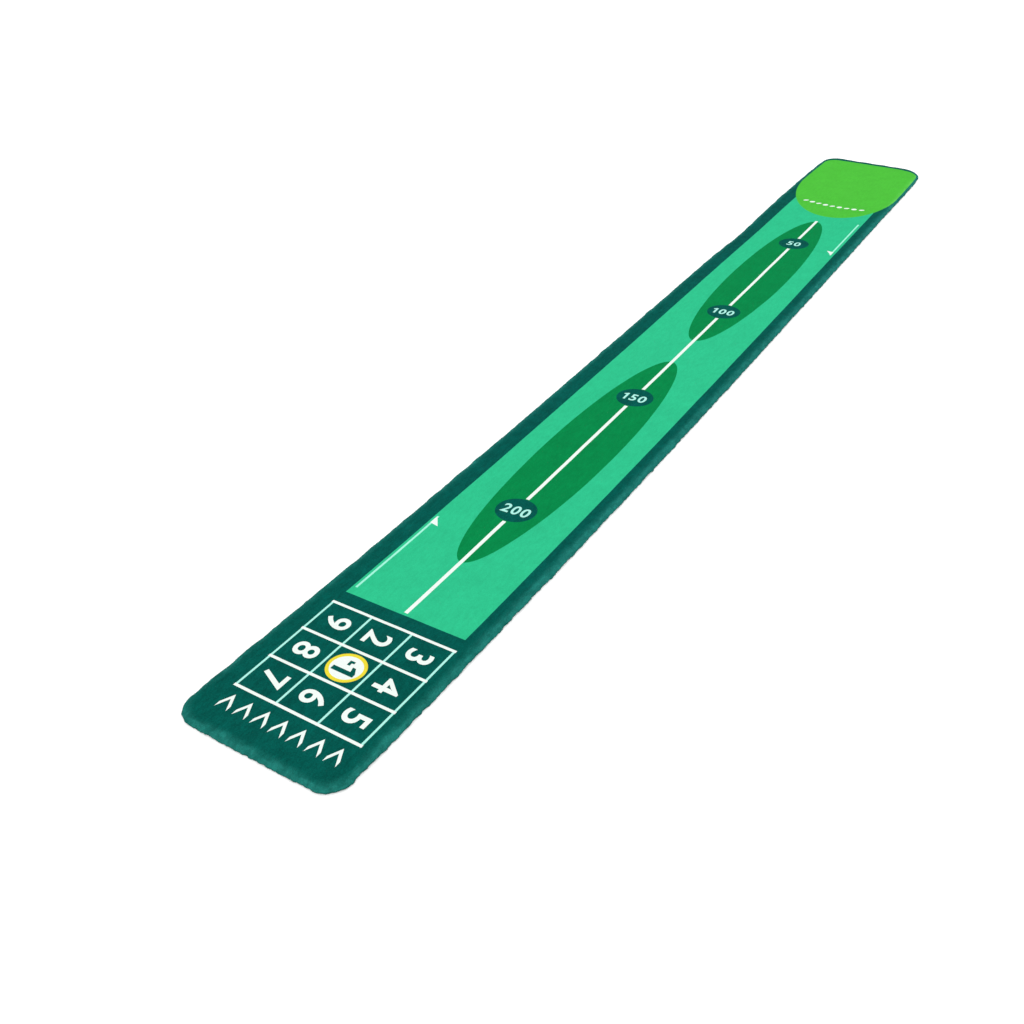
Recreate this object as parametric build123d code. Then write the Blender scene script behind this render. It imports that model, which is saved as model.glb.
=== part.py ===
from build123d import *
import os

# A practice putting mat: a soft printed pile cloth and a backing cloth, sewn edge to edge as a bag
# and turned right side out around a sheet of foam, with a grip coating printed under the backing.
# Millimetres. X runs across the mat, +Y along it towards the far end, +Z up.
# The origin is on the floor, under the middle of the mat.

# Outline
mat_width = 285.0
mat_length = 2400.0
corner_radius = 38.0

# Heights above the floor
grip_height = 0.6
mat_thickness = 10.0

# Cloths: the pile stands on the face cloth's top and sides, and is crushed where it turns under
pile_cloth = 2.2
crushed_cloth = 1.5
allowance_cloth = 1.0
backing_cloth_thickness = 0.7

# Shape of the padded edge
shoulder_radius = 6.2
hem_radius = 2.8

# Seam under the edge, measured inwards from the outline
seam_inset = 6.0
allowance_end = 14.0
foam_step = 15.0
grip_inset = 17.0

# Threads
thread = 0.3
overlock_reach = 3.5
seam_line = 7.4
closing_gap = 120.0
closing_pitch = 4.0
closing_stitch_length = 3.2
closing_stitch_width = 0.5

# Foam fits loosely in the bag
foam_side_gap = 0.5
foam_shoulder_radius = 3.4
clearance = 0.1

# Levels worked out from the sizes above
hem_level = grip_height
backing_top = hem_level + backing_cloth_thickness
allowance_low = backing_top + 2 * thread
allowance_mid = allowance_low + backing_cloth_thickness
allowance_top = allowance_mid + allowance_cloth
cavity_top = mat_thickness - pile_cloth
foam_top = cavity_top - clearance
foam_rim_low = allowance_top + thread + clearance
foam_low = backing_top + clearance


def plate(inset, low, high):
    """A flat solid of the mat's outline, drawn in by inset, between two levels."""
    outline = RectangleRounded(mat_width - 2 * inset, mat_length - 2 * inset, corner_radius - inset)
    return Pos(0, 0, low) * extrude(outline, high - low)


def ring(outer_inset, inner_inset, low, high):
    """A flat band that follows the mat's outline, between two insets and two levels."""
    return plate(outer_inset, low, high) - plate(inner_inset, low, high)


def padded_plate(inset, low, high, top_radius, bottom_radius):
    """A plate whose upper and lower edges are rounded all the way round."""
    solid = plate(inset, low, high)
    solid = fillet(solid.edges().group_by(Axis.Z)[-1], top_radius)
    return fillet(solid.edges().group_by(Axis.Z)[0], bottom_radius)


def face_cloth():
    """Printed pile cloth: top, rounded sides, the hem that turns under, and its seam allowance."""
    outside = padded_plate(0, hem_level, mat_thickness, shoulder_radius, hem_radius)
    inside = padded_plate(
        pile_cloth,
        hem_level + crushed_cloth,
        cavity_top,
        shoulder_radius - pile_cloth,
        hem_radius - crushed_cloth,
    )
    skin = outside - inside - plate(seam_inset, hem_level, cavity_top)
    turn_up = ring(seam_inset - allowance_cloth, seam_inset, hem_level, allowance_top)
    allowance = ring(seam_inset - allowance_cloth, allowance_end, allowance_mid, allowance_top)
    return skin + turn_up + allowance


def backing_cloth():
    """Backing cloth: the flat underside and its own seam allowance, folded back over it."""
    sheet = plate(seam_inset, hem_level, backing_top)
    turn_up = ring(seam_inset, seam_inset + backing_cloth_thickness, hem_level, allowance_mid)
    allowance = ring(seam_inset, allowance_end, allowance_low, allowance_mid)
    return sheet + turn_up + allowance


def foam_core():
    """Foam sheet that fills the bag, stepped round its lower rim where it lies on the seam."""
    upper = plate(pile_cloth + foam_side_gap, foam_rim_low, foam_top)
    upper = fillet(upper.edges().group_by(Axis.Z)[-1], foam_shoulder_radius)
    return upper + plate(foam_step, foam_low, foam_rim_low)


def grip_coating():
    """Anti-slip coating under the backing cloth, the surface that the mat rests on."""
    return plate(grip_inset, 0, grip_height)


def seam_thread():
    """Lockstitch that joins the two cloths: needle thread above the allowances, bobbin thread below."""
    needle = ring(seam_line, seam_line + thread, allowance_top, allowance_top + thread)
    bobbin = ring(seam_line, seam_line + thread, allowance_low - thread, allowance_low)
    return Compound(children=[needle, bobbin])


def overlock_thread():
    """Overlock stitch that wraps the raw edges of both allowances."""
    low = allowance_low - thread
    high = allowance_top + thread
    wrap = ring(allowance_end - overlock_reach, allowance_end + thread, low, high)
    return wrap - ring(allowance_end - overlock_reach, allowance_end, allowance_low, allowance_top)


def closing_stitches():
    """Short stitches across the seam at the far end, where the bag was closed after turning."""
    count = int(closing_gap / closing_pitch)
    seam_y = mat_length / 2 - seam_inset
    stitch = Box(closing_stitch_width, closing_stitch_length, thread)
    stitches = []
    for i in range(count):
        x = (i - (count - 1) / 2) * closing_pitch
        stitches.append(Pos(x, seam_y, hem_level - thread / 2) * stitch)
    return Compound(children=stitches)


os.makedirs("parts", exist_ok=True)
pieces = {
    "face_cloth": face_cloth(),
    "foam_core": foam_core(),
    "backing_cloth": backing_cloth(),
    "grip_coating": grip_coating(),
    "seam_thread": seam_thread(),
    "overlock_thread": overlock_thread(),
    "closing_stitches": closing_stitches(),
}
for node, shape in pieces.items():
    export_step(shape, f"parts/{node}.step")
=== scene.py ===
import math
import random

import bmesh
import bpy
import numpy as np
from mathutils import Matrix, Vector, geometry, noise
from mathutils.kdtree import KDTree


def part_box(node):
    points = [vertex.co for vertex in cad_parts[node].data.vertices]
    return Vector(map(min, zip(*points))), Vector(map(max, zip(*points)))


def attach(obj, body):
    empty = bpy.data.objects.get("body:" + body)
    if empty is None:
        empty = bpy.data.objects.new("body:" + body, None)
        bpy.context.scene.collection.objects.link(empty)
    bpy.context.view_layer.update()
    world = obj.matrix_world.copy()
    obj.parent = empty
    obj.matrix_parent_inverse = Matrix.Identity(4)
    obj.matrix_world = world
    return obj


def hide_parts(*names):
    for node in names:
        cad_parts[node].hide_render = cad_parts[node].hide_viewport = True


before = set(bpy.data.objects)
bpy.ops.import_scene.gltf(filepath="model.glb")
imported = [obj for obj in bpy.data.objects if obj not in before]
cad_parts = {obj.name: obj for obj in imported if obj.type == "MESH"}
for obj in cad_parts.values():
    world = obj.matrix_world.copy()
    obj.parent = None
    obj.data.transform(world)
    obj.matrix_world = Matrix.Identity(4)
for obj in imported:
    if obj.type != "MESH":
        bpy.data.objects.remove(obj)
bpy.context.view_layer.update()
scene = bpy.context.scene
mm = 0.001

# ---- sizes from the frame, in metres

face_low, face_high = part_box("face_cloth")
backing_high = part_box("backing_cloth")[1]
foam_low, foam_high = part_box("foam_core")
grip_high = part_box("grip_coating")[1]
seam_low, seam_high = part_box("seam_thread")
overlock_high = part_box("overlock_thread")[1]
closing_low, closing_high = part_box("closing_stitches")

half_width = face_high.x
half_length = face_high.y
hem_level = face_low.z
top_level = face_high.z
seam_inset = half_width - backing_high.x
corner = 38 * mm
core = np.array([half_width - corner, half_length - corner])

# ---- camera

camera_place = Vector((0.821, -1.690, 0.986))
camera_aim = Vector((0.067, -0.584, 0.0))
camera_roll = math.radians(-4.2)
camera_lens = 36.3
camera_shift = -0.045


def added(name, data):
    """A new object with some data, in the scene."""
    thing = bpy.data.objects.new(name, data)
    scene.collection.objects.link(thing)
    return thing


def make_camera():
    data = bpy.data.cameras.new("camera")
    data.lens = camera_lens
    data.shift_x = camera_shift
    camera = added("camera", data)
    turn = (camera_aim - camera_place).to_track_quat("-Z", "Y").to_matrix().to_4x4()
    camera.matrix_world = Matrix.Translation(camera_place) @ turn @ Matrix.Rotation(camera_roll, 4, "Z")
    scene.camera = camera


make_camera()

# ---- how a flat cloth wraps the foam


def unit(vectors):
    """Vectors brought to a length of one. A zero stays zero."""
    return vectors / np.maximum(np.linalg.norm(vectors, axis=1), 1e-9)[:, None]


class Profile:
    """A cloth's line across the mat's edge, from its cut edge in to the flat top or bottom.

    At each distance from the cut edge it gives the inset from the mat's outline, the height, and
    the direction that the cloth's outer side faces, as outward and up."""

    def __init__(self, line, facing=1):
        line = np.array([p for i, p in enumerate(line) if i == 0 or p != line[i - 1]], float)
        self.along = np.concatenate([[0], np.cumsum(np.linalg.norm(np.diff(line, axis=0), axis=1))])
        self.inset, self.height = line.T
        run = unit(np.gradient(line, self.along, axis=0))
        self.out, self.up = run[:, 1] * facing, run[:, 0] * facing
        self.length = self.along[-1]
        self.extra = self.length - self.inset[-1]
        self.corner = corner + self.extra

    def flat_size(self):
        return 2 * (half_width + self.extra), 2 * (half_length + self.extra)

    def distance(self, points):
        """How far points of the flat cloth lie from its cut edge."""
        return self.corner - np.linalg.norm(points - np.clip(points, -core, core), axis=1)

    def lay(self, points, depth=0.0):
        """Wraps points of the flat cloth round the mat's edge, depth under its outer side."""
        nearest = np.clip(points, -core, core)
        away = unit(points - nearest)
        reach = np.linalg.norm(points - nearest, axis=1)
        d = self.corner - reach
        inset = np.where(d < self.length, np.interp(d, self.along, self.inset), d - self.extra)
        out = np.where(d < self.length, np.interp(d, self.along, self.out), 0)
        up = np.where(d < self.length, np.interp(d, self.along, self.up), np.sign(self.up[-1]))
        out_reach = np.where(reach > 0, corner - inset - out * depth, 0)
        height = np.interp(d, self.along, self.height) - up * depth
        return np.column_stack([nearest + away * out_reach[:, None], height])


hem_width = 3.6 * mm
belly = 4.2 * mm
shoulder_width = 14.6 * mm
allowance_end = 14 * mm
allowance_level = 2.6 * mm
face_bend = ((1.4, 2.6), (0.5, 2.4), (0.1, 1.9), (0, 1.3), (-0.4, 0.85))
seam_point = 4
fold_inset = 6.6 * mm
fold_width = 0.8 * mm
fold_high = 2.0 * mm
fold_low = 1.4 * mm
backing_reach = 4 * mm
cloth_gap = 0.1 * mm


def quarter(count):
    return np.linspace(0, math.pi / 2, count)


def face_profile():
    """Seam allowance, seam, hem under the edge, side and shoulder.

    The bend is given in millimetres, as insets from the seam and heights. The seam is point 4."""
    line = [(allowance_end, allowance_level)]
    line += [(seam_inset + inset * mm, height * mm) for inset, height in face_bend]
    for t in quarter(14):
        line.append((hem_width * (1 - math.sin(t)), belly - (belly - hem_level) * math.cos(t)))
    for t in quarter(26)[1:]:
        line.append((shoulder_width * (1 - math.cos(t)), belly + (top_level - belly) * math.sin(t)))
    return Profile(line)


def backing_profile():
    """Seam allowance, the fold at the seam, and the flat underside. Its outer side faces down."""
    level = allowance_level - cloth_gap
    line = [(allowance_end, level)]
    for t in quarter(8)[::-1]:
        height = fold_high + (level - fold_high) * math.sin(t)
        line.append((fold_inset + fold_width * (1 - math.cos(t)), height))
    for t in quarter(8):
        line.append((fold_inset + fold_width * (1 - math.cos(t)), fold_low - fold_width * math.sin(t)))
    line.append((fold_inset + backing_reach, hem_level))
    return Profile(line, -1)


face_wrap = face_profile()
backing_wrap = backing_profile()
seam_along = face_wrap.along[seam_point]
plan = Profile([(0, 0), (1 * mm, 0)])

# ---- lines that follow the edge


def edge_counts(pitch):
    """How many points lie round one corner, along the right side and along the far end."""
    arc_steps = max(4, round(math.pi / 2 * corner / pitch))
    return arc_steps, [max(1, round(2 * side / pitch)) for side in core[::-1]]


def edge_line(radius, pitch, shift=0.0):
    """Points anticlockwise round the core at a radius from it, about pitch apart along the sides.

    The count depends on the pitch only, so lines of different radius match point for point."""
    arc_steps, steps = edge_counts(pitch)
    corners = core * np.array([(1, -1), (1, 1), (-1, 1), (-1, -1), (1, -1)])
    nearest, angles = [], []
    for side in range(4):
        a, b = corners[side], corners[side + 1]
        count = steps[side % 2]
        for i in range(count):
            nearest.append(a + (b - a) * (i + shift) / count)
            angles.append(math.pi / 2 * side)
        for i in range(arc_steps):
            nearest.append(b)
            angles.append(math.pi / 2 * (side + (i + shift) / arc_steps))
    away = np.stack([np.cos(angles), np.sin(angles)], 1)
    return np.array(nearest) + radius * away


def station(points, pitch):
    """Where points lie round the edge, counted in the points of edge_line."""
    arc_steps, (along_y, along_x) = edge_counts(pitch)
    nearest = np.clip(points, -core, core)
    x, y = nearest.T
    away = points - nearest
    turn = (np.arctan2(away[:, 1], away[:, 0]) / (math.pi / 2)) % 4
    share_y, share_x = along_y / (2 * core[1]), along_x / (2 * core[0])
    sides = [(y + core[1]) * share_y, along_y + (core[0] - x) * share_x,
             along_y + along_x + (core[1] - y) * share_y,
             2 * along_y + along_x + (x + core[0]) * share_x]
    return np.choose(np.floor(turn).astype(int) % 4, sides) + arc_steps * turn


# ---- cloth simulation of the edge

trial_pitch = 5 * mm
trial_lines = [*np.arange(seam_along, 27 * mm, 1.7 * mm), *np.arange(28.5 * mm, 40 * mm, 3 * mm)]
trial_places = (0, seam_along + 1 * mm, seam_along + 3 * mm, 22 * mm, 33 * mm)
trial_holds = (1, 1, 0, 0, 1)
trial_growth = 0.045
trial_pressure = 6.0
trial_bending = 40
trial_mass = 0.15
trial_quality = 5
trial_frames = 20
most_out = 2.4 * mm
most_in = 1.2 * mm
soft_steps = 5
soft_gain = 0.9


def grid_faces(rows, columns):
    """Quads between lines of a closed band, row after row inwards."""
    return [(r * columns + c, r * columns + (c + 1) % columns,
             (r + 1) * columns + (c + 1) % columns, (r + 1) * columns + c)
            for r in range(rows - 1) for c in range(columns)]


def puffed_edge():
    """Simulates the band between the seam and the flat top as cloth, a little too long and under pressure.

    Returns how far each point of each line moved. The seam and the flat top are held, so the spare
    cloth gathers into the small puckers that a turned seam has."""
    lines = [edge_line(face_wrap.corner - d, trial_pitch) for d in trial_lines]
    start = face_wrap.lay(np.concatenate(lines))
    trial = mesh_object("edge_trial", start, grid_faces(len(lines), len(lines[0])), [])
    held = trial.vertex_groups.new(name="held")
    width = len(lines[0])
    for r, d in enumerate(trial_lines):
        weight = np.interp(d, trial_places, trial_holds)
        if weight > 0:
            held.add(list(range(r * width, (r + 1) * width)), float(weight), "REPLACE")
    cloth = trial.modifiers.new("cloth", "CLOTH")
    cloth.settings.quality = trial_quality
    cloth.settings.mass = trial_mass
    cloth.settings.bending_stiffness = trial_bending
    cloth.settings.vertex_group_mass = "held"
    cloth.settings.shrink_min = -trial_growth
    cloth.settings.use_pressure = True
    cloth.settings.uniform_pressure_force = trial_pressure
    cloth.settings.effector_weights.gravity = 0
    cloth.point_cache.frame_start = 1
    cloth.point_cache.frame_end = trial_frames
    for frame_number in range(1, trial_frames + 1):
        scene.frame_set(frame_number)
    shown = trial.evaluated_get(bpy.context.evaluated_depsgraph_get())
    moved = np.empty(len(start) * 3)
    shown.data.vertices.foreach_get("co", moved)
    moved = moved.reshape(-1, 3) - start
    bpy.data.objects.remove(trial)
    scene.frame_set(1)
    moved = capped(moved, np.concatenate(lines)).reshape(len(lines), width, 3)
    return softened(moved) * soft_gain


def softened(moved):
    """Takes out the folds that are too narrow for padded cloth, along the edge and across it."""
    for _ in range(soft_steps):
        moved = (np.roll(moved, 1, 1) + 2 * moved + np.roll(moved, -1, 1)) / 4
    across = moved.copy()
    across[1:-1] = (moved[:-2] + 2 * moved[1:-1] + moved[2:]) / 4
    return across


def capped(moved, points):
    """Limits how far the edge may move outwards and inwards."""
    outward = unit(face_wrap.lay(points) - face_wrap.lay(points, 1 * mm))
    share = (moved * outward).sum(1)
    limited = most_out * np.tanh(np.maximum(share, 0) / most_out)
    limited -= most_in * np.tanh(np.maximum(-share, 0) / most_in)
    aside = moved - share[:, None] * outward
    length = np.linalg.norm(aside, axis=1)
    aside *= (most_out * np.tanh(length / most_out) / np.maximum(length, 1e-9))[:, None]
    return aside + limited[:, None] * outward


def moved_by_cloth(points):
    """How far the simulated cloth moved at points of the flat face cloth."""
    moved = np.zeros((len(points), 3))
    distance = face_wrap.distance(points)
    near = (distance > seam_along) & (distance < trial_lines[-1])
    row = np.interp(distance[near], trial_lines, np.arange(len(trial_lines)))
    column = station(points[near], trial_pitch)
    r, c = np.minimum(np.floor(row).astype(int), len(trial_lines) - 2), np.floor(column).astype(int)
    a, b = (row - r)[:, None], (column - c)[:, None]
    width = edge_move.shape[1]
    low, high = c % width, (c + 1) % width
    moved[near] = ((1 - a) * ((1 - b) * edge_move[r, low] + b * edge_move[r, high])
                   + a * ((1 - b) * edge_move[r + 1, low] + b * edge_move[r + 1, high]))
    return moved


# ---- how the mat lies

bow_middle = 5.8 * mm
bow_square = -8.3 * mm
bow_cube = 8.2 * mm
bow_balance = 0.6
far_slant = -0.09
far_slant_start = 0.6
far_draw = -0.035
far_draw_start = 0.86
eased_corner = 24 * mm
eased_from = (60 * mm, 0.8)
dent = 6.5 * mm
dent_from = 60 * mm
dent_at, dent_reach = 0.5, 0.11


def eased(value, start, end, most=1.01):
    """Zero as far as start, then growing as a square, to one at end."""
    return np.clip((value - start) / (end - start), 0, most) ** 2


def rest(points):
    """Moves placed points into the shape that the soft mat has as it lies.

    It has a slight double bend, a shallow dent in its left side, a slanting, drawn-in far end, and
    a right far corner that is rounder than the others."""
    points = points.copy()
    s = points[:, 1] / half_length
    left = eased(-points[:, 0], dent_from, half_width, 1.02)
    points[:, 0] += dent * left * np.exp(-((s - dent_at) / dent_reach) ** 2)
    right = eased(points[:, 0], eased_from[0], half_width, 1.02)
    points[:, 1] -= eased_corner * right * eased(s, eased_from[1], 1)
    points[:, 0] *= 1 + far_draw * eased(s, far_draw_start, 1)
    points[:, 1] += far_slant * eased(s, far_slant_start, 1) * points[:, 0]
    points[:, 0] += bow_middle + bow_square * s ** 2 + bow_cube * (s ** 3 - bow_balance * s)
    return points


def noise_at(points, size, shift=0.0):
    """Smooth noise about zero at each point, with features about size across."""
    away = Vector((shift, shift * 0.7, shift * 1.3))
    return np.array([noise.noise(Vector(p) / size + away) for p in points])


swell_start = 4 * mm
swell_noise = ((150 * mm, 0.55, 0.0), (48 * mm, 0.30, 3.0))
swell_mean = -0.2


def swelled(points):
    """Adds long, low swells of the foam to everything above the seam allowances."""
    share = np.clip((points[:, 2] - swell_start) / (top_level - swell_start), 0, 1)
    swell = sum(height * noise_at(points, size, shift) for size, height, shift in swell_noise) + swell_mean
    moved = points.copy()
    moved[:, 2] += swell * share * mm
    return moved


tuft_noise = ((17 * mm, 1.3 * mm, 5.0), (9 * mm, 1.8 * mm, 9.0), (5.5 * mm, 1.6 * mm, 13.0))
tuft_mean = 0.9 * mm
tuft_places = (seam_along, seam_along + 4 * mm, 15 * mm, 22 * mm)
tuft_weights = (0, 1, 0.8, 0)


def frayed_surface(flat):
    """The face cloth's outer side, with small tufts over the edge that stand out or lie down."""
    points = face_surface(flat)
    weight = np.interp(face_wrap.distance(flat), tuft_places, tuft_weights)
    outward = unit(points[:, :2] - np.clip(points[:, :2], -core, core))
    near = weight > 0
    tuft = np.zeros(len(points))
    for size, height, shift in tuft_noise:
        tuft[near] += height * noise_at(points[near], size, shift)
    points[:, :2] += outward * ((tuft + tuft_mean) * weight)[:, None]
    return points


# ---- outlines in the plane


def divided(loop, pitch):
    """A closed outline with no edge longer than pitch."""
    points = []
    for a, b in zip(loop, np.roll(loop, -1, axis=0)):
        count = max(1, math.ceil(np.linalg.norm(b - a) / pitch))
        points += [a + (b - a) * i / count for i in range(count)]
    return np.array(points)


def rectangle(x0, y0, x1, y1):
    return np.array([(x0, y0), (x1, y0), (x1, y1), (x0, y1)])


def ellipse(x, y, rx, ry, count=72):
    turn = np.linspace(0, 2 * math.pi, count, endpoint=False)
    return np.stack([x + rx * np.cos(turn), y + ry * np.sin(turn)], 1)


def inside(points, loops):
    """Which points lie inside a shape given by closed outlines, holes included."""
    hit = np.zeros(len(points), bool)
    for loop in loops:
        low, high = loop.min(0), loop.max(0)
        near = np.flatnonzero(((points > low) & (points < high)).all(1))
        if not len(near):
            continue
        x, y = points[near].T
        odd = np.zeros(len(near), bool)
        for (ax, ay), (bx, by) in zip(loop, np.roll(loop, -1, axis=0)):
            if ay != by:
                crosses = (ay > y) != (by > y)
                odd ^= crosses & (x < (bx - ax) * (y - ay) / (by - ay) + ax)
        hit[near] ^= odd
    return hit


def turned(loops, degrees, x, y, stretch=1.0):
    """Outlines stretched across, turned anticlockwise about the origin and moved to (x, y)."""
    c, s = math.cos(math.radians(degrees)), math.sin(math.radians(degrees))
    return [(loop * (stretch, 1)) @ np.array([(c, s), (-s, c)]) + (x, y) for loop in loops]


def border_loops(mesh):
    """The closed outlines of a flat mesh."""
    used = {}
    for polygon in mesh.polygons:
        for key in polygon.edge_keys:
            used[key] = used.get(key, 0) + 1
    follow = {}
    for (a, b), count in used.items():
        if count == 1:
            follow.setdefault(a, []).append(b)
            follow.setdefault(b, []).append(a)
    loops = []
    while follow:
        here = next(iter(follow))
        path = []
        while here in follow:
            path.append(mesh.vertices[here].co[:2])
            ends = follow.pop(here)
            here = next((end for end in ends if end in follow), None)
        loops.append(np.array(path))
    return loops


one_height = 0.96
one_thick = 0.19


def one(height, thick):
    """The outline of a plain numeral one with a slanting flag, centred on the origin."""
    flag = 0.55 * thick + 0.1 * height
    shape = [(0, 0), (thick, 0), (thick, height), (0.2 * thick, height), (-flag, 0.84 * height),
             (-flag, 0.70 * height), (0, 0.76 * height)]
    return np.array(shape) - ((thick - flag) / 2, height / 2)


def numeral(text, height, weight=0.0, spacing=1.0):
    """Closed outlines of plain numerals of some height, centred on the origin."""
    curve = bpy.data.curves.new("numeral", "FONT")
    curve.body = text
    curve.offset = weight
    curve.resolution_u = 5
    curve.space_character = spacing
    thing = added("numeral", curve)
    mesh = bpy.data.meshes.new_from_object(thing)
    bpy.data.objects.remove(thing)
    bpy.data.curves.remove(curve)
    loops = border_loops(mesh)
    bpy.data.meshes.remove(mesh)
    points = np.concatenate(loops)
    low, high = points.min(0), points.max(0)
    loops = [(loop - (low + high) / 2) * height / (high[1] - low[1]) for loop in loops]
    if text[0] == "1":
        loops.sort(key=lambda loop: loop[:, 0].min())
        middle = (loops[0].min(0) + loops[0].max(0)) / 2
        loops[0] = one(height * one_height, height * one_thick) + middle
    return loops


# ---- the print, in millimetres

print_offset = 7.0
lane_half = 108.5
lane_start = -906
line_half = 3.3
line_ends = (-901, 730)
oval_centres = (-421, 376)
oval_half_width = 64.5
oval_half_length = 349
disc_places = (-622, -225, 172, 575)
disc_radii = (35.5, 31)
disc_gap = 2
disc_texts = ("200", "150", "100", "50")
disc_numerals = {"height": 23, "weight": 0.022, "spacing": 1.16}
disc_shift = 0.5
grid_low = -1121.5
grid_high = -931
grid_half = 109.5
grid_thick = 4.5
grid_thin = 3.6
grid_rows = ("923", "814", "765")
grid_overhang = 2.5
numeral_height = 42.5
numeral_weight = 0.016
numeral_stretch = 0.93
score_radii = (30.5, 26.5)
score_ring = 5.2
score_one = (38.5, 7.5)
score_shift = 3
score_hook = ((-4, 5), (1, 5), (1, 10), (5, 10), (5, 14), (-4, 14))
arrow_ends = ((-102, -891, -693), (100, 746, 543))
arrow_thick = 3.8
barb_width = 15
barb_back = 22
barb_notch = 19
chevron_count = 7
chevron_step = 31.5
chevron_rise = 28
chevron_reach = 10.5
chevron_thick = 9
chevron_y = -1149
far_edge = 1200
green_low = 768
green_merge = 978
green_rim = 8
green_far = 1178
green_shift = 3.5
green_skew = 0.22
arc_dashes = 9
arc_dash = (7, 3.6)
arc_swell = 1.6
arc_turn = 25
arc_span = 152
arc_sag = 9
arc_skew = 0.10
arc_y = 850

prints = []


def put(colour, loops, pitch=6.0):
    """Adds a printed shape, its outlines in millimetres. A later shape covers an earlier one."""
    prints.append((colour, [divided(loop + (print_offset, 0), pitch) * mm for loop in loops]))


def print_lane():
    put("lane", [rectangle(-lane_half, lane_start, lane_half, green_merge)])
    for y in oval_centres:
        put("oval", [ellipse(0, y, oval_half_width, oval_half_length, 180)])
    stops = [line_ends[0]]
    for y in disc_places:
        stops += [y - disc_radii[1] - disc_gap, y + disc_radii[1] + disc_gap]
    stops.append(line_ends[1])
    for low, high in zip(stops[::2], stops[1::2]):
        put("white", [rectangle(-line_half, low, line_half, high)])


def print_discs():
    for y, text in zip(disc_places, disc_texts):
        put("border", [ellipse(0, y, *disc_radii)], 4)
        put("pale", turned(numeral(text, **disc_numerals), 0, disc_shift, y - disc_shift), 4)


def print_arrows():
    """Two thin half-barbed arrows beside the lane's edges, pointing opposite ways along the mat."""
    for x, tail, tip in arrow_ends:
        ahead = 1 if tip > tail else -1
        side = ahead * arrow_thick / 2
        put("mint", [rectangle(x - arrow_thick / 2, min(tail, tip), x + arrow_thick / 2, max(tail, tip))])
        barb = [(x - side, tip), (x + ahead * barb_width, tip - ahead * barb_back),
                (x - side, tip - ahead * barb_notch)]
        put("white", [np.array(barb, float)])


def print_grid():
    """A three by three target of numbered squares with a score disc in the middle."""
    rows = np.linspace(grid_high, grid_low, len(grid_rows) + 1)
    columns = np.linspace(-grid_half, grid_half, len(grid_rows) + 1)
    reach = grid_half + grid_overhang
    for x in columns:
        put("pale", [rectangle(x - grid_thin / 2, rows[-1], x + grid_thin / 2, rows[0])])
    for y in rows:
        put("white", [rectangle(-reach, y - grid_thick / 2, reach, y + grid_thick / 2)])
    for r, row in enumerate(grid_rows):
        for c, digit in enumerate(row):
            x = (columns[c] + columns[c + 1]) / 2
            y = (rows[r] + rows[r + 1]) / 2
            if digit == "1":
                print_score(x, y)
            else:
                put("white", turned(grid_numeral(digit), -90, x, y, numeral_stretch), 3)


def grid_numeral(digit):
    """A bold numeral. The nine is the six upside down."""
    if digit == "9":
        return [-loop for loop in grid_numeral("6")]
    return numeral(digit, numeral_height, numeral_weight)


def print_score(x, y):
    put("yellow", [ellipse(x, y, *score_radii)], 3)
    put("white", [ellipse(x, y, score_radii[0] - score_ring, score_radii[1] - score_ring)], 3)
    put("border", turned([one(*score_one)], -90, x, y - score_shift), 3)
    put("border", [np.array(score_hook, float) + (x, y)], 3)


def print_chevrons():
    """A plain row of chevrons at the near end, pointing along the mat."""
    low = chevron_y - chevron_rise / 2
    high = chevron_y + chevron_rise / 2
    for i in range(chevron_count):
        x = (i - (chevron_count - 1) / 2) * chevron_step
        left, right = x - chevron_reach, x + chevron_reach
        shape = [(left, low), (x, high - chevron_thick), (right, low), (right, low + chevron_thick),
                 (x, high), (left, low + chevron_thick)]
        put("white", [np.array(shape, float)], 4)


def print_far_end():
    """The bright green end: a half oval that widens into the whole end, and a plain broken arc."""
    upper = face_wrap.along >= face_wrap.along[np.argmin(face_wrap.inset)]
    rim_d = np.interp(green_rim * mm, face_wrap.inset[upper], face_wrap.along[upper])
    outer = (half_width + face_wrap.extra - rim_d) / mm
    far = (half_length + face_wrap.extra) / mm - (rim_d / mm) - (far_edge - green_rim - green_far)
    low = [(outer * math.cos(t), green_merge + (green_merge - green_low) * math.sin(t)
            - green_skew * outer * math.cos(t)) for t in np.linspace(-math.pi, 0, 90)]
    radius = (face_wrap.corner - rim_d) / mm
    high = [(outer - radius + radius * math.cos(t), far - radius + radius * math.sin(t))
            for t in quarter(16)]
    high += [(-x, y) for x, y in reversed(high)]
    prints.append(("green", [divided(np.array(low + high) + (green_shift, 0), 5) * mm]))
    for i in range(arc_dashes):
        x = (i - (arc_dashes - 1) / 2) * arc_span / (arc_dashes - 1)
        y = arc_y - arc_sag * (1 - (2 * x / arc_span) ** 2) - arc_skew * x
        dash = ellipse(0, 0, arc_dash[0], arc_dash[1] + arc_swell * (i % 2), 20)
        put("white", turned([dash], arc_turn, x, y), 3)


print_lane()
print_discs()
print_arrows()
print_far_end()
print_grid()
print_chevrons()

# ---- meshes


def mesh_object(name, points, faces, materials, slots=None):
    mesh = bpy.data.meshes.new(name)
    mesh.from_pydata(np.asarray(points).tolist(), [], faces)
    for material in materials:
        mesh.materials.append(material)
    if slots is not None:
        mesh.polygons.foreach_set("material_index", np.asarray(slots, np.int32))
    mesh.polygons.foreach_set("use_smooth", np.ones(len(faces), bool))
    mesh.update()
    return added(name, mesh)


def lattice(profile, pitch, margin):
    """Staggered points over a flat cloth, at least margin inside its cut edge."""
    row = pitch * math.sqrt(3) / 2
    rows = int(half_length / row) + 1
    columns = int(half_width / pitch) + 2
    points = np.array([((i + 0.5 * (j % 2)) * pitch, j * row)
                       for j in range(-rows, rows + 1) for i in range(-columns, columns + 1)])
    return points[profile.distance(points) > margin]


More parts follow.
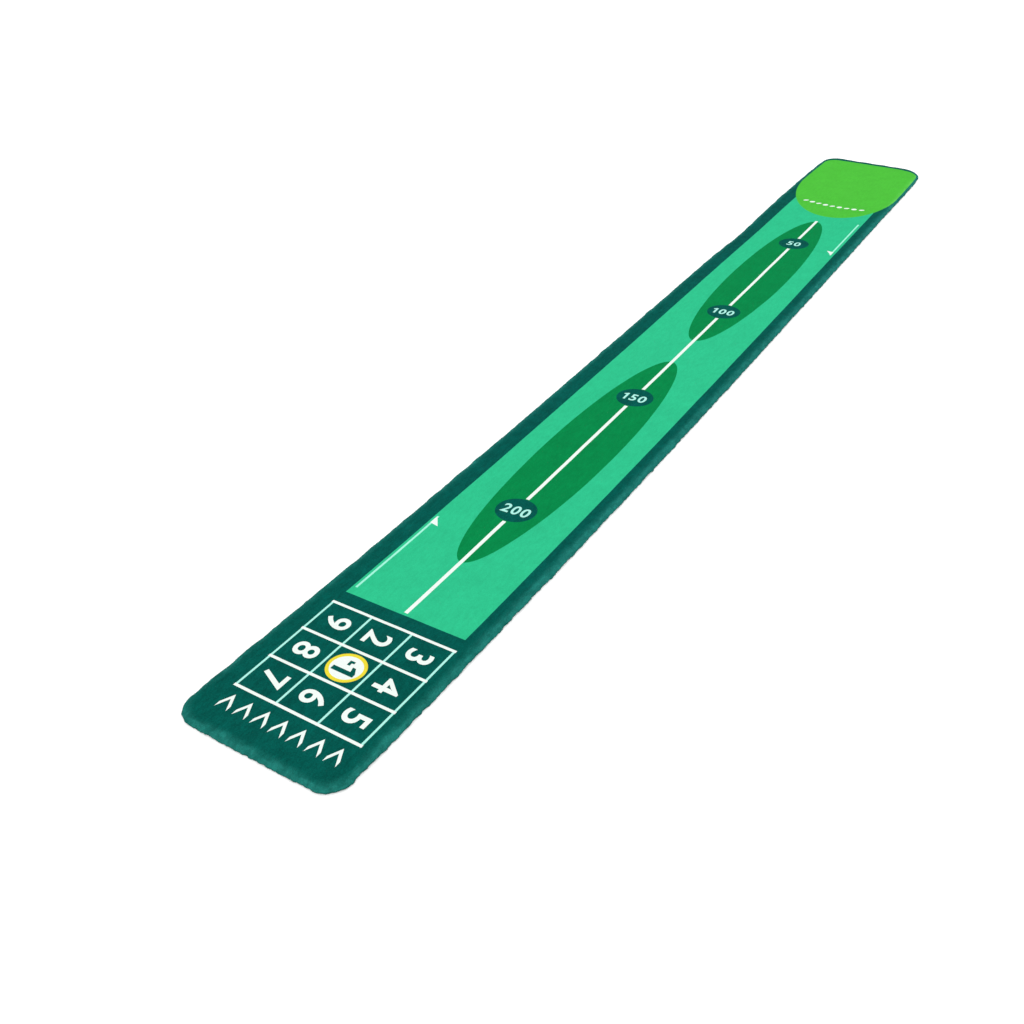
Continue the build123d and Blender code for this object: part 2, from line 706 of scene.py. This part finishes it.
def triangulated(loops, free):
    """A flat mesh of triangles that keeps every outline's edges. Returns its points and triangles."""
    points, edges = [], []
    for loop in loops:
        first = len(points)
        points += [Vector(p) for p in loop]
        edges += [(first + i, first + (i + 1) % len(loop)) for i in range(len(loop))]
    points += [Vector(p) for p in free]
    made = geometry.delaunay_2d_cdt(points, edges, [], 0, 1e-6)
    flat, triangles = np.array([p[:] for p in made[0]]), np.array([f[:] for f in made[2]])
    a, b, c = (flat[triangles[:, i]] for i in range(3))
    area = (b[:, 0] - a[:, 0]) * (c[:, 1] - a[:, 1]) - (b[:, 1] - a[:, 1]) * (c[:, 0] - a[:, 0])
    triangles[area < 0] = triangles[area < 0][:, ::-1]
    return flat, triangles[abs(area) > 1e-12]


def edge_rings(profile, steps, pitch, kept):
    """Lines of points at some distances from the cut edge, in millimetres, every second one staggered.

    Returns the lines whose edges a mesh has to keep, the cut edge first, and the other lines. The
    kept ones lie in a range of distances, where the cloth turns more tightly than the points' pitch."""
    steps = np.array(steps) * mm
    lines = [edge_line(profile.corner - d, pitch, 0.5 * (i % 2)) for i, d in enumerate(steps)]
    keep = [i == 0 or kept[0] <= d <= kept[1] for i, d in enumerate(steps)]
    kept_lines = [line for line, k in zip(lines, keep) if k]
    return kept_lines, [line for line, k in zip(lines, keep) if not k]


def two_sided(outer, outer_triangles, inner, inner_triangles):
    """Joins an outer and an inner layer into one closed mesh. Both begin with the same border points."""
    count = len(outer)
    edges = set()
    for a, b, c in outer_triangles.tolist():
        edges.update(((a, b), (b, c), (c, a)))
    rim = sorted((a, b) for a, b in edges if (b, a) not in edges)
    faces = outer_triangles.tolist() + (inner_triangles[:, ::-1] + count).tolist()
    faces += [[b, a, a + count, b + count] for a, b in rim]
    return np.concatenate([outer, inner]), faces


inside_scale = (0.38, 0.3)


def strip_map(mesh, flat, faces, outer_faces):
    """Lays the cloth out flat for texture baking, as three strips side by side and its inside small."""
    strips, gap = 3, 10 * mm
    width, length = face_wrap.flat_size()
    width += gap
    height = length / strips
    size = strips * width + gap
    uvs = np.zeros((len(mesh.loops), 2))
    at = 0
    for number, face in enumerate(faces):
        across = flat[face][:, 0]
        up = flat[face][:, 1] + strips * height / 2
        if number < outer_faces:
            strip = int(np.clip(up.mean() // height, 0, strips - 1))
            x = across + (strip + 0.5) * width + gap / 2
            y = up - strip * height + gap
        else:
            x = up * inside_scale[0] + gap
            y = (across + width / 2) * inside_scale[1] + height + 3 * gap
        uvs[at:at + len(face)] = np.stack([x, y], 1) / size
        at += len(face)
    mesh.uv_layers.new(name="OFBake").data.foreach_set("uv", uvs.ravel())


# ---- materials


def linear(rgb):
    """A colour from 0 to 255 as the shader's own linear values."""
    shares = [c / 255 for c in rgb]
    return (*[c / 12.92 if c <= 0.04045 else ((c + 0.055) / 1.055) ** 2.4 for c in shares], 1)


class Look:
    """A procedural material, put together node by node."""

    def __init__(self, name):
        self.material = bpy.data.materials.new(name)
        self.material.use_nodes = True
        self.nodes = self.material.node_tree.nodes
        self.shader = self.nodes["Principled BSDF"]
        self.spots = self.node("TexCoord").outputs
        self.place = self.spots["Object"]

    def feed(self, socket, value):
        """Links a value to a socket, or sets the socket to a constant."""
        if isinstance(value, bpy.types.NodeSocket):
            self.material.node_tree.links.new(value, socket)
        else:
            socket.default_value = value

    def node(self, kind, **values):
        """Adds a node. A value is named after its socket, with _ for a space."""
        made = self.nodes.new("ShaderNode" + kind)
        for name, value in values.items():
            self.feed(made.inputs[name.replace("_", " ")], value)
        return made

    def surface(self, **values):
        """Feeds the shader's own sockets."""
        for name, value in values.items():
            self.feed(self.shader.inputs[name.replace("_", " ")], value)

    def noise(self, scale, detail=2.0, stretch=None):
        place = self.place
        if stretch:
            place = self.node("Mapping", Vector=place, Scale=stretch).outputs["Vector"]
        return self.node("TexNoise", Vector=place, Scale=scale, Detail=detail).outputs["Fac"]

    def ranged(self, value, low, high, from_low=0.3, from_high=0.7):
        return self.node("MapRange", Value=value, From_Min=from_low, From_Max=from_high,
                         To_Min=low, To_Max=high).outputs["Result"]

    def about_one(self, value, share):
        return self.ranged(value, 1 - share, 1 + share)

    def maths(self, operation, a, b=0):
        made = self.node("Math")
        made.operation = operation
        self.feed(made.inputs[0], a)
        self.feed(made.inputs[1], b)
        return made.outputs[0]

    def times(self, a, b):
        return self.maths("MULTIPLY", a, b)

    def mixed(self, blend, factor, a, b):
        made = self.node("Mix")
        made.data_type = "RGBA"
        made.blend_type = blend
        self.feed(made.inputs["Factor"], factor)
        self.feed(made.inputs["A"], a)
        self.feed(made.inputs["B"], b)
        return made.outputs["Result"]

    def coloured(self, colour, amount):
        """Makes the shader's colour, a colour multiplied by a grey value."""
        self.surface(Base_Color=self.mixed("MULTIPLY", 1.0, colour, amount))

    def bumped(self, height, strength, depth):
        bump = self.node("Bump", Strength=strength, Distance=depth, Height=height)
        self.surface(Normal=bump.outputs["Normal"])


# Painted sheen: how much paler colour, by the tilt of the surface, and patches of it.
sheen_tilt_range = (0.0, 0.25)
sheen_patch_range = (0.5, 1.2)
# Painted shade under the edge: how dark, by how far the surface faces down.
under_shade_tones = (0.5, 1.0)
under_shade_facings = (-0.35, 0.35)
pile_roughness = 0.95
pile_gloss = 0.02


def pile_material(name, rgb, sheen_rgb, contrast):
    """Dyed short pile: brushed patches, tufts and fibre ends.

    Where the cloth begins to curve a paler colour is painted in as sheen, and under the edge the colour is
    darkened as painted shade."""
    look = Look(f"pile_{name}")
    patches = look.about_one(look.noise(30, 4), 0.7 * contrast)
    brushed = look.about_one(look.noise(110, 3, (1.6, 0.6, 1)), contrast)
    tufts = look.noise(420)
    fibres = look.noise(1500, 1)
    fine = look.times(look.about_one(tufts, contrast), look.about_one(fibres, 1.4 * contrast))
    amount = look.times(look.times(patches, brushed), fine)
    facing_up = look.node("SeparateXYZ", Vector=look.spots["Normal"]).outputs["Z"]
    tilt = look.maths("SQRT", look.maths("SUBTRACT", 1, facing_up))
    # Painted sheen: the paler colour mixed in where the surface tilts, in patches.
    painted_sheen_share = look.times(look.ranged(tilt, 0.0, 1.0, *sheen_tilt_range),
                        look.ranged(look.noise(75, 3), *sheen_patch_range))
    # Painted shade: the colour darkened where the surface faces down, under the edge.
    amount = look.times(amount, look.ranged(facing_up, *under_shade_tones, *under_shade_facings))
    look.coloured(look.mixed("MIX", painted_sheen_share, linear(rgb), linear(sheen_rgb)), amount)
    look.surface(Roughness=pile_roughness, Specular_IOR_Level=pile_gloss)
    look.bumped(look.maths("ADD", fibres, look.times(tufts, 1.8)), 0.6, 0.7 * mm)
    return look.material


# Each dye: its colour, a paler colour painted in as sheen where the cloth curves, and its contrast.
dyes = {
    "border": ((2, 75, 67), (27, 105, 96), 0.15),
    "lane": ((41, 172, 124), (58, 182, 132), 0.05),
    "oval": ((4, 119, 63), (18, 130, 74), 0.07),
    "green": ((69, 171, 53), (88, 184, 74), 0.05),
    "white": ((214, 222, 217), (214, 222, 217), 0.02),
    "pale": ((156, 216, 204), (156, 216, 204), 0.02),
    "mint": ((146, 218, 196), (146, 218, 196), 0.03),
    "yellow": ((212, 196, 52), (212, 196, 52), 0.04),
}
pile = {name: pile_material(name, *dye) for name, dye in dyes.items()}


def tuft_material(name, sheen_rgb, contrast):
    """The pile's loose ends: the paler colour painted on the edge as sheen, varied from tuft to tuft, a
    little translucent.
    """
    look = Look(f"tufts_{name}")
    look.coloured(linear(sheen_rgb), look.about_one(look.noise(300), 2 * contrast))
    look.surface(Roughness=pile_roughness, Specular_IOR_Level=pile_gloss)
    look.surface(Subsurface_Weight=0.3, Subsurface_Radius=(0.6 * mm,) * 3, Subsurface_Scale=1.0)
    return look.material


def knit_material():
    """The unprinted inside of the face cloth: fine knitted loops in pale green."""
    look = Look("knit_inside")
    loops = look.noise(900, 2, (1, 0.4, 1))
    look.coloured(linear((196, 218, 208)), look.ranged(loops, 0.85, 1.05))
    look.surface(Roughness=0.95)
    look.bumped(loops, 0.4, 0.3 * mm)
    return look.material


def foam_material():
    """Cream open-cell foam."""
    look = Look("open_cell_foam")
    walls = look.node("TexVoronoi", Vector=look.place, Scale=650).outputs["Distance"]
    tone = look.times(look.ranged(walls, 0.72, 1.05, 0.0, 0.6), look.ranged(look.noise(25, 3), 0.94, 1.04))
    look.coloured(linear((240, 228, 186)), tone)
    look.surface(Roughness=0.9)
    look.bumped(walls, 0.6, 0.5 * mm)
    return look.material


def backing_material():
    """Dark grey-green plain woven polyester."""
    look = Look("woven_backing")
    waves = []
    for direction in ("X", "Y"):
        wave = look.node("TexWave", Vector=look.place, Scale=260, Distortion=0.6)
        wave.bands_direction = direction
        waves.append(wave.outputs["Fac"])
    weave = look.maths("MAXIMUM", *waves)
    tone = look.times(look.ranged(weave, 0.7, 1.1, 0.2, 1.0), look.ranged(look.noise(60, 3), 0.92, 1.08))
    look.coloured(linear((52, 74, 70)), tone)
    look.surface(Roughness=0.85, Sheen_Weight=0.1)
    look.bumped(weave, 0.4, 0.2 * mm)
    return look.material


def grip_material():
    """Soft grey rubbery plastic, slightly dusty."""
    look = Look("grip_rubber")
    dust = look.noise(140, 3)
    look.coloured(linear((150, 158, 152)), look.ranged(dust, 0.88, 1.06))
    look.surface(Roughness=look.ranged(dust, 0.42, 0.62), Coat_Weight=0.1)
    return look.material


def thread_material():
    """Twisted dark teal polyester thread."""
    look = Look("sewing_thread")
    twist = look.noise(2600, 1, (1, 0.5, 1))
    look.coloured(linear((18, 92, 84)), look.ranged(twist, 0.75, 1.2))
    look.surface(Roughness=0.55, Sheen_Weight=0.3)
    look.bumped(twist, 0.4, 0.1 * mm)
    return look.material


# ---- the face cloth

cloth_pitch = 6.5 * mm
ring_pitch = 3.3 * mm
lattice_start = 53 * mm
face_rings = [0, 4, 6.5, 7.2, 7.8, 8.4, 8.9, 9.5, 10.2]
face_rings += [*np.arange(11.3, 30, 1.3), 30.6, 32.8, 35.4, 38.6, 42.4, 47]
inside_rings = [0, 6.8, 7.8, 8.6, 9.6, 11, 13, 15, 17, 19, 21.5, 24.5, 28, 34, 42]
inside_pitch = 18 * mm
clear_of_print = 2.2 * mm
seam_turn = (6.4 * mm, 13 * mm)
inside_turn = (6.5 * mm, 26 * mm)
pile_places = (seam_along, seam_along + 6 * mm)
pile_depths = (1.0 * mm, 2.1 * mm)
edge_move = puffed_edge()


def clear_points(free, marks):
    """The free points of the cloth, without those that lie too near the print's outlines."""
    near = KDTree(len(marks))
    for i, p in enumerate(marks):
        near.insert((*p, 0), i)
    near.balance()
    return np.array([p for p in free if near.find((*p, 0))[2] > clear_of_print])


def face_surface(flat, depth=0.0):
    """Where points of the flat face cloth end up, at a depth under its outer side."""
    return swelled(face_wrap.lay(flat, depth) + moved_by_cloth(flat))


def print_slots(flat):
    """The number of the dye at points of the flat face cloth."""
    slots = np.zeros(len(flat), np.int32)
    for colour, shapes in prints:
        slots[inside(flat, shapes)] = list(dyes).index(colour)
    return slots


def build_face():
    """The printed cloth: the print is cut into one flat mesh, which is then wrapped round the foam."""
    loops = [loop for _, shapes in prints for loop in shapes]
    kept, others = edge_rings(face_wrap, face_rings, ring_pitch, seam_turn)
    free = np.concatenate([*others, lattice(face_wrap, cloth_pitch, lattice_start)])
    flat, triangles = triangulated([*kept, *loops], clear_points(free, np.concatenate(loops)))
    inside_kept, inside_others = edge_rings(face_wrap, inside_rings, 2 * ring_pitch, inside_turn)
    coarse = np.concatenate([*inside_others, lattice(face_wrap, inside_pitch, lattice_start)])
    inner_flat, inner_triangles = triangulated([kept[0], *inside_kept[1:]], coarse)
    depth = np.interp(face_wrap.distance(inner_flat), pile_places, pile_depths)
    outer = frayed_surface(flat)
    outer[:, 2] = np.maximum(outer[:, 2], hem_level)
    inner = face_surface(inner_flat, depth)
    points, faces = two_sided(rest(outer), triangles, rest(inner), inner_triangles)
    slots = [*print_slots(flat[triangles].mean(1)), *[len(dyes)] * (len(faces) - len(triangles))]
    face = mesh_object("face_cloth_printed", points, faces, [*pile.values(), knit_material()], slots)
    strip_map(face.data, np.concatenate([flat, inner_flat]), faces, len(triangles))
    return face


fringe_count = 46000
fringe_length = 1.15 * mm
fringe_width = 0.45 * mm
fringe_depth = 0.4 * mm
fringe_places = (seam_along + 2 * mm, seam_along + 24 * mm, seam_along + 9 * mm)
fringe_lean = 0.7
fringe_shares = (0.5, 1.1)
fringe_seed = 11
fringe_corners = (0, 2.1, 4.2)
fringe_twist = (0.3, 0.4, 0.1)
twist_share = 0.2
fringe_floor = 0.2 * mm
tip_floor = 0.3 * mm


def build_fringe():
    """Loose ends of the pile that stand out round the edge: fine tapering tufts."""
    random.seed(fringe_seed)
    line = edge_line(0, 1 * mm)
    nearest = np.clip(line, -core, core)
    along = edge_line(1, 1 * mm) - line
    flat, ends = [], []
    for _ in range(fringe_count):
        i = random.randrange(len(line))
        d = random.triangular(*fringe_places)
        flat.append(nearest[i] + along[i] * (face_wrap.corner - d))
        lean, turn = random.gauss(0, fringe_lean), random.gauss(0, fringe_lean)
        ends.append((lean, turn, random.uniform(*fringe_shares)))
    flat, ends = np.array(flat), np.array(ends)
    out = unit(face_wrap.lay(flat) - face_wrap.lay(flat, 1 * mm))
    roots = frayed_surface(flat) - out * fringe_depth
    side = unit(np.cross(out, (0, 0, 1.0)) + np.cross(out, fringe_twist) * twist_share)
    over = np.cross(out, side)
    tips = roots + (out + side * ends[:, :1] + over * ends[:, 1:2]) * (ends[:, 2:] * fringe_length)
    tips[:, 2] = np.maximum(tips[:, 2], tip_floor)
    base = [roots + fringe_width / 2 * (side * math.cos(t) + over * math.sin(t)) for t in fringe_corners]
    points = np.stack([rest(ring) for ring in (*base, tips)], 1).reshape(-1, 3)
    points[:, 2] = np.maximum(points[:, 2], fringe_floor)
    faces, slots = [], []
    for i, slot in enumerate(print_slots(flat)):
        a, b, c, tip = (4 * i + j for j in range(4))
        faces += [[a, b, tip], [b, c, tip], [c, a, tip], [c, b, a]]
        slots += [slot] * 4
    # The tufts take each dye's painted sheen colour.
    materials = [tuft_material(name, *dye[1:]) for name, dye in dyes.items()]
    return mesh_object("pile_fringe", points, faces, materials, slots)


face = build_face()
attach(face, "root")
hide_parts("face_cloth")

fringe = build_fringe()
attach(fringe, "root")

# ---- the foam

foam_pitch = 6 * mm
foam_lattice = 16 * mm
foam_flat_from = 36 * mm
foam_side = 4.6 * mm
foam_slack = 0.3 * mm
foam_step = 15 * mm
foam_rim_level = 4.0 * mm
foam_shoulder = 12 * mm
foam_rim_rise = 0.5 * mm
foam_rings = [4.6, 5.0, 5.6, 6.4, 7.2, 8.4, 10.4, 12.6, 14.7, 14.95, 15.2, 15.9, 20, 28]
step_half = 0.2 * mm


def foam_heights(inset):
    """The foam's top and bottom above the floor at a distance in from the mat's outline."""
    share = np.clip((inset - foam_side) / foam_shoulder, 0, 1)
    rim = foam_rim_level + foam_rim_rise
    top = rim + (foam_high.z - foam_slack - rim) * np.sqrt(1 - (1 - share) ** 2)
    places = [foam_side, foam_side + foam_rim_rise, foam_step - step_half, foam_step + step_half]
    return top, np.interp(inset, places, [rim, foam_rim_level, foam_rim_level, foam_low.z])


def build_foam():
    """Closed foam sheet: a rounded top edge, and a step round its underside where it lies on the seam."""
    kept, others = edge_rings(plan, foam_rings, foam_pitch, (0, foam_step + 1 * mm))
    free = np.concatenate([*others, lattice(plan, foam_lattice, foam_flat_from)])
    flat, triangles = triangulated(kept, free)
    top, bottom = foam_heights(plan.distance(flat))
    upper = rest(swelled(np.column_stack([flat, top])))
    lower = rest(np.column_stack([flat, bottom]))
    border = plan.distance(flat) < foam_side + 0.05 * mm
    lower[border] = upper[border]
    number = np.arange(len(flat)) + len(flat)
    number[border] = np.flatnonzero(border)
    faces = [list(t) for t in triangles.tolist()] + number[triangles[:, ::-1]].tolist()
    keep = np.unique(np.concatenate([np.ravel(f) for f in faces]))
    renumber = np.full(2 * len(flat), -1)
    renumber[keep] = np.arange(len(keep))
    points = np.concatenate([upper, lower])[keep]
    return mesh_object("foam_sheet", points, [renumber[f].tolist() for f in faces], [foam_material()])


foam = build_foam()
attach(foam, "root")
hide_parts("foam_core")

# ---- the backing cloth and its grip dots

backing_pitch = 6 * mm
backing_lattice = 14 * mm
backing_flat_from = 46 * mm
backing_turn = (5 * mm, 13 * mm)
backing_rings = [0, 3, 6, 6.8, 7.2, 7.6, 8.0, 8.4, 8.9, 9.4, 9.9, 10.4, 11, 12.5, 15, 20, 28, 38]
ripple_height = 0.05 * mm
ripple_size = 20 * mm
fold_places = (4 * mm, 5.8 * mm, 9.8 * mm, 12 * mm)
fold_thickness = (0.7 * mm, 0.3 * mm, 0.3 * mm, 0.7 * mm)
dot_pitch = 12 * mm
dot_radius = 1.9 * mm
dot_sides = 11
dot_sunk = 0.05 * mm
dot_tip = 0.72


def build_backing():
    """The underside cloth, with its seam allowance folded back over it."""
    kept, others = edge_rings(backing_wrap, backing_rings, backing_pitch, backing_turn)
    free = np.concatenate([*others, lattice(backing_wrap, backing_lattice, backing_flat_from)])
    flat, triangles = triangulated(kept, free)
    triangles = triangles[:, ::-1]
    ripple = ripple_height * noise_at(np.column_stack([flat, 0 * flat[:, 0]]), ripple_size)
    outer = backing_wrap.lay(flat)
    depth = np.interp(backing_wrap.distance(flat), fold_places, fold_thickness)
    inner = backing_wrap.lay(flat, depth)
    outer[:, 2] += np.abs(ripple)
    points, faces = two_sided(rest(outer), triangles, rest(inner), triangles)
    return mesh_object("backing_cloth_woven", points, faces, [backing_material()])


def build_dots():
    """Rows of small tapered rubbery dots printed on the backing, every second row staggered."""
    middle = backing_wrap.lay(np.zeros((1, 2)))[0, 2]
    spots = lattice(plan, dot_pitch, half_width - grip_high.x + dot_radius)
    spots = rest(np.column_stack([spots, 0 * spots[:, 0]]))[:, :2]
    points, faces = [], []
    for x, y in spots:
        first = len(points)
        for level, radius in ((middle + dot_sunk, dot_radius), (0.0, dot_radius * dot_tip)):
            points += [(*p, level) for p in ellipse(x, y, radius, radius, dot_sides)]
        ring = list(range(first, first + dot_sides))
        faces.append(ring)
        for a, b in zip(ring, ring[1:] + ring[:1]):
            faces.append([b, a, a + dot_sides, b + dot_sides])
        faces.append([i + dot_sides for i in reversed(ring)])
    return mesh_object("grip_dots", points, faces, [grip_material()])


backing = build_backing()
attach(backing, "root")
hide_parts("backing_cloth")

dots = build_dots()
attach(dots, "root")
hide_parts("grip_coating")

# ---- threads

thread_radius = 0.15 * mm
stitch_pitch = 3.2 * mm
stitch_inset = half_width - seam_high.x
overlock_pitch = 3.6 * mm
overlock_width = 3.5 * mm
closing_count = 30
closing_radius = 0.2 * mm
closing_lean = 0.5 * mm
closing_level = 0.45 * mm
closing_rise = 0.9 * mm


def curve_piece(name, paths, radius, closed, material, roundness=0):
    """A piece made of round threads along some paths of points, as one mesh."""
    curve = bpy.data.curves.new("thread", "CURVE")
    curve.dimensions = "3D"
    curve.bevel_depth = radius
    curve.bevel_resolution = roundness
    curve.use_fill_caps = not closed
    for points in paths:
        spline = curve.splines.new("POLY")
        spline.points.add(len(points) - 1)
        spline.points.foreach_set("co", np.column_stack([points, np.ones(len(points))]).ravel())
        spline.use_cyclic_u = closed
    thing = added(name, curve)
    mesh = bpy.data.meshes.new_from_object(thing)
    bpy.data.objects.remove(thing)
    welded = bmesh.new()
    welded.from_mesh(mesh)
    bmesh.ops.remove_doubles(welded, verts=welded.verts, dist=1e-6)
    welded.to_mesh(mesh)
    welded.free()
    mesh.materials.clear()
    mesh.materials.append(material)
    mesh.polygons.foreach_set("use_smooth", np.ones(len(mesh.polygons), bool))
    mesh.name = name
    return added(name, mesh)


def stepped(line, insets, levels):
    """A path along the seam that goes round a repeating cycle of insets and heights."""
    count = len(line) // len(insets) * len(insets)
    cycle = np.arange(count) % len(insets)
    picked = line[np.linspace(0, len(line), count, endpoint=False).astype(int)]
    nearest = np.clip(picked, -core, core)
    reach = corner - np.array(insets)[cycle]
    placed = nearest + unit(picked - nearest) * reach[:, None]
    return rest(np.column_stack([placed, np.array(levels)[cycle]]))


def build_threads(material):
    """Lockstitch through the two allowances, and the overlock loops round their raw edges."""
    low, high = seam_low.z + thread_radius, seam_high.z - thread_radius
    line = edge_line(corner, stitch_pitch / 4)
    middle = (low + high) / 2
    mid_inset = stitch_inset + thread_radius
    needle = stepped(line, [mid_inset] * 4, [high, high, high, middle + thread_radius])
    bobbin = stepped(line, [mid_inset] * 4, [low, low, low, middle - thread_radius])
    seam = curve_piece("seam_stitching", [needle, bobbin], thread_radius, True, material)
    line = edge_line(corner, overlock_pitch / 6)
    start = half_width - overlock_high.x
    end = start + overlock_width
    insets = [start + thread_radius, (start + end) / 2, end, end + thread_radius, end, (start + end) / 2]
    over = stepped(line, insets, [high, high, high, middle, low, low])
    overlock = curve_piece("overlock_stitching", [over], thread_radius, True, material)
    return seam, overlock


def build_closing(material):
    """Hand stitches across the seam under the far end, each a small arch of thread."""
    middle_y = (closing_low.y + closing_high.y) / 2
    half = (closing_high.y - closing_low.y) / 2
    steps = np.linspace(-1, 1, 7)
    heights = closing_level + closing_rise * steps ** 4
    paths = []
    for x in np.linspace(closing_low.x, closing_high.x, closing_count):
        paths.append(rest(np.column_stack([x + closing_lean * steps, middle_y + half * steps, heights])))
    return curve_piece("closing_stitches_sewn", paths, closing_radius, False, material, 2)


thread = thread_material()
seam, overlock = build_threads(thread)
closing = build_closing(thread)
for piece, node in ((seam, "seam_thread"), (overlock, "overlock_thread"), (closing, "closing_stitches")):
    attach(piece, "root")
    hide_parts(node)

face_flat = face_wrap.flat_size()
backing_flat = backing_wrap.flat_size()

# ---- floor and light

floor_half = 12
floor_tone = 0.94
world_strength = 1.0
key_strength = 1.75
key_from = Vector((0.60, -0.45, 0.90))
key_softness = math.radians(40)


def make_stage():
    """A plain white floor, even white surroundings and one large soft key light from the near right."""
    points = [(*p, 0) for p in rectangle(-floor_half, -floor_half, floor_half, floor_half)]
    look = Look("floor")
    look.surface(Base_Color=(floor_tone, floor_tone, floor_tone, 1), Roughness=0.9, Specular_IOR_Level=0.1)
    floor = mesh_object("floor", points, [(0, 1, 2, 3)], [look.material])
    world = bpy.data.worlds.new("studio")
    world.use_nodes = True
    backdrop = world.node_tree.nodes["Background"]
    backdrop.inputs["Color"].default_value = (1, 1, 1, 1)
    backdrop.inputs["Strength"].default_value = world_strength
    scene.world = world
    light = bpy.data.lights.new("key", "SUN")
    light.energy = key_strength
    light.angle = key_softness
    added("key", light).rotation_euler = (-key_from).to_track_quat("-Z", "Y").to_euler()


make_stage()
scene.view_settings.view_transform = "Standard"
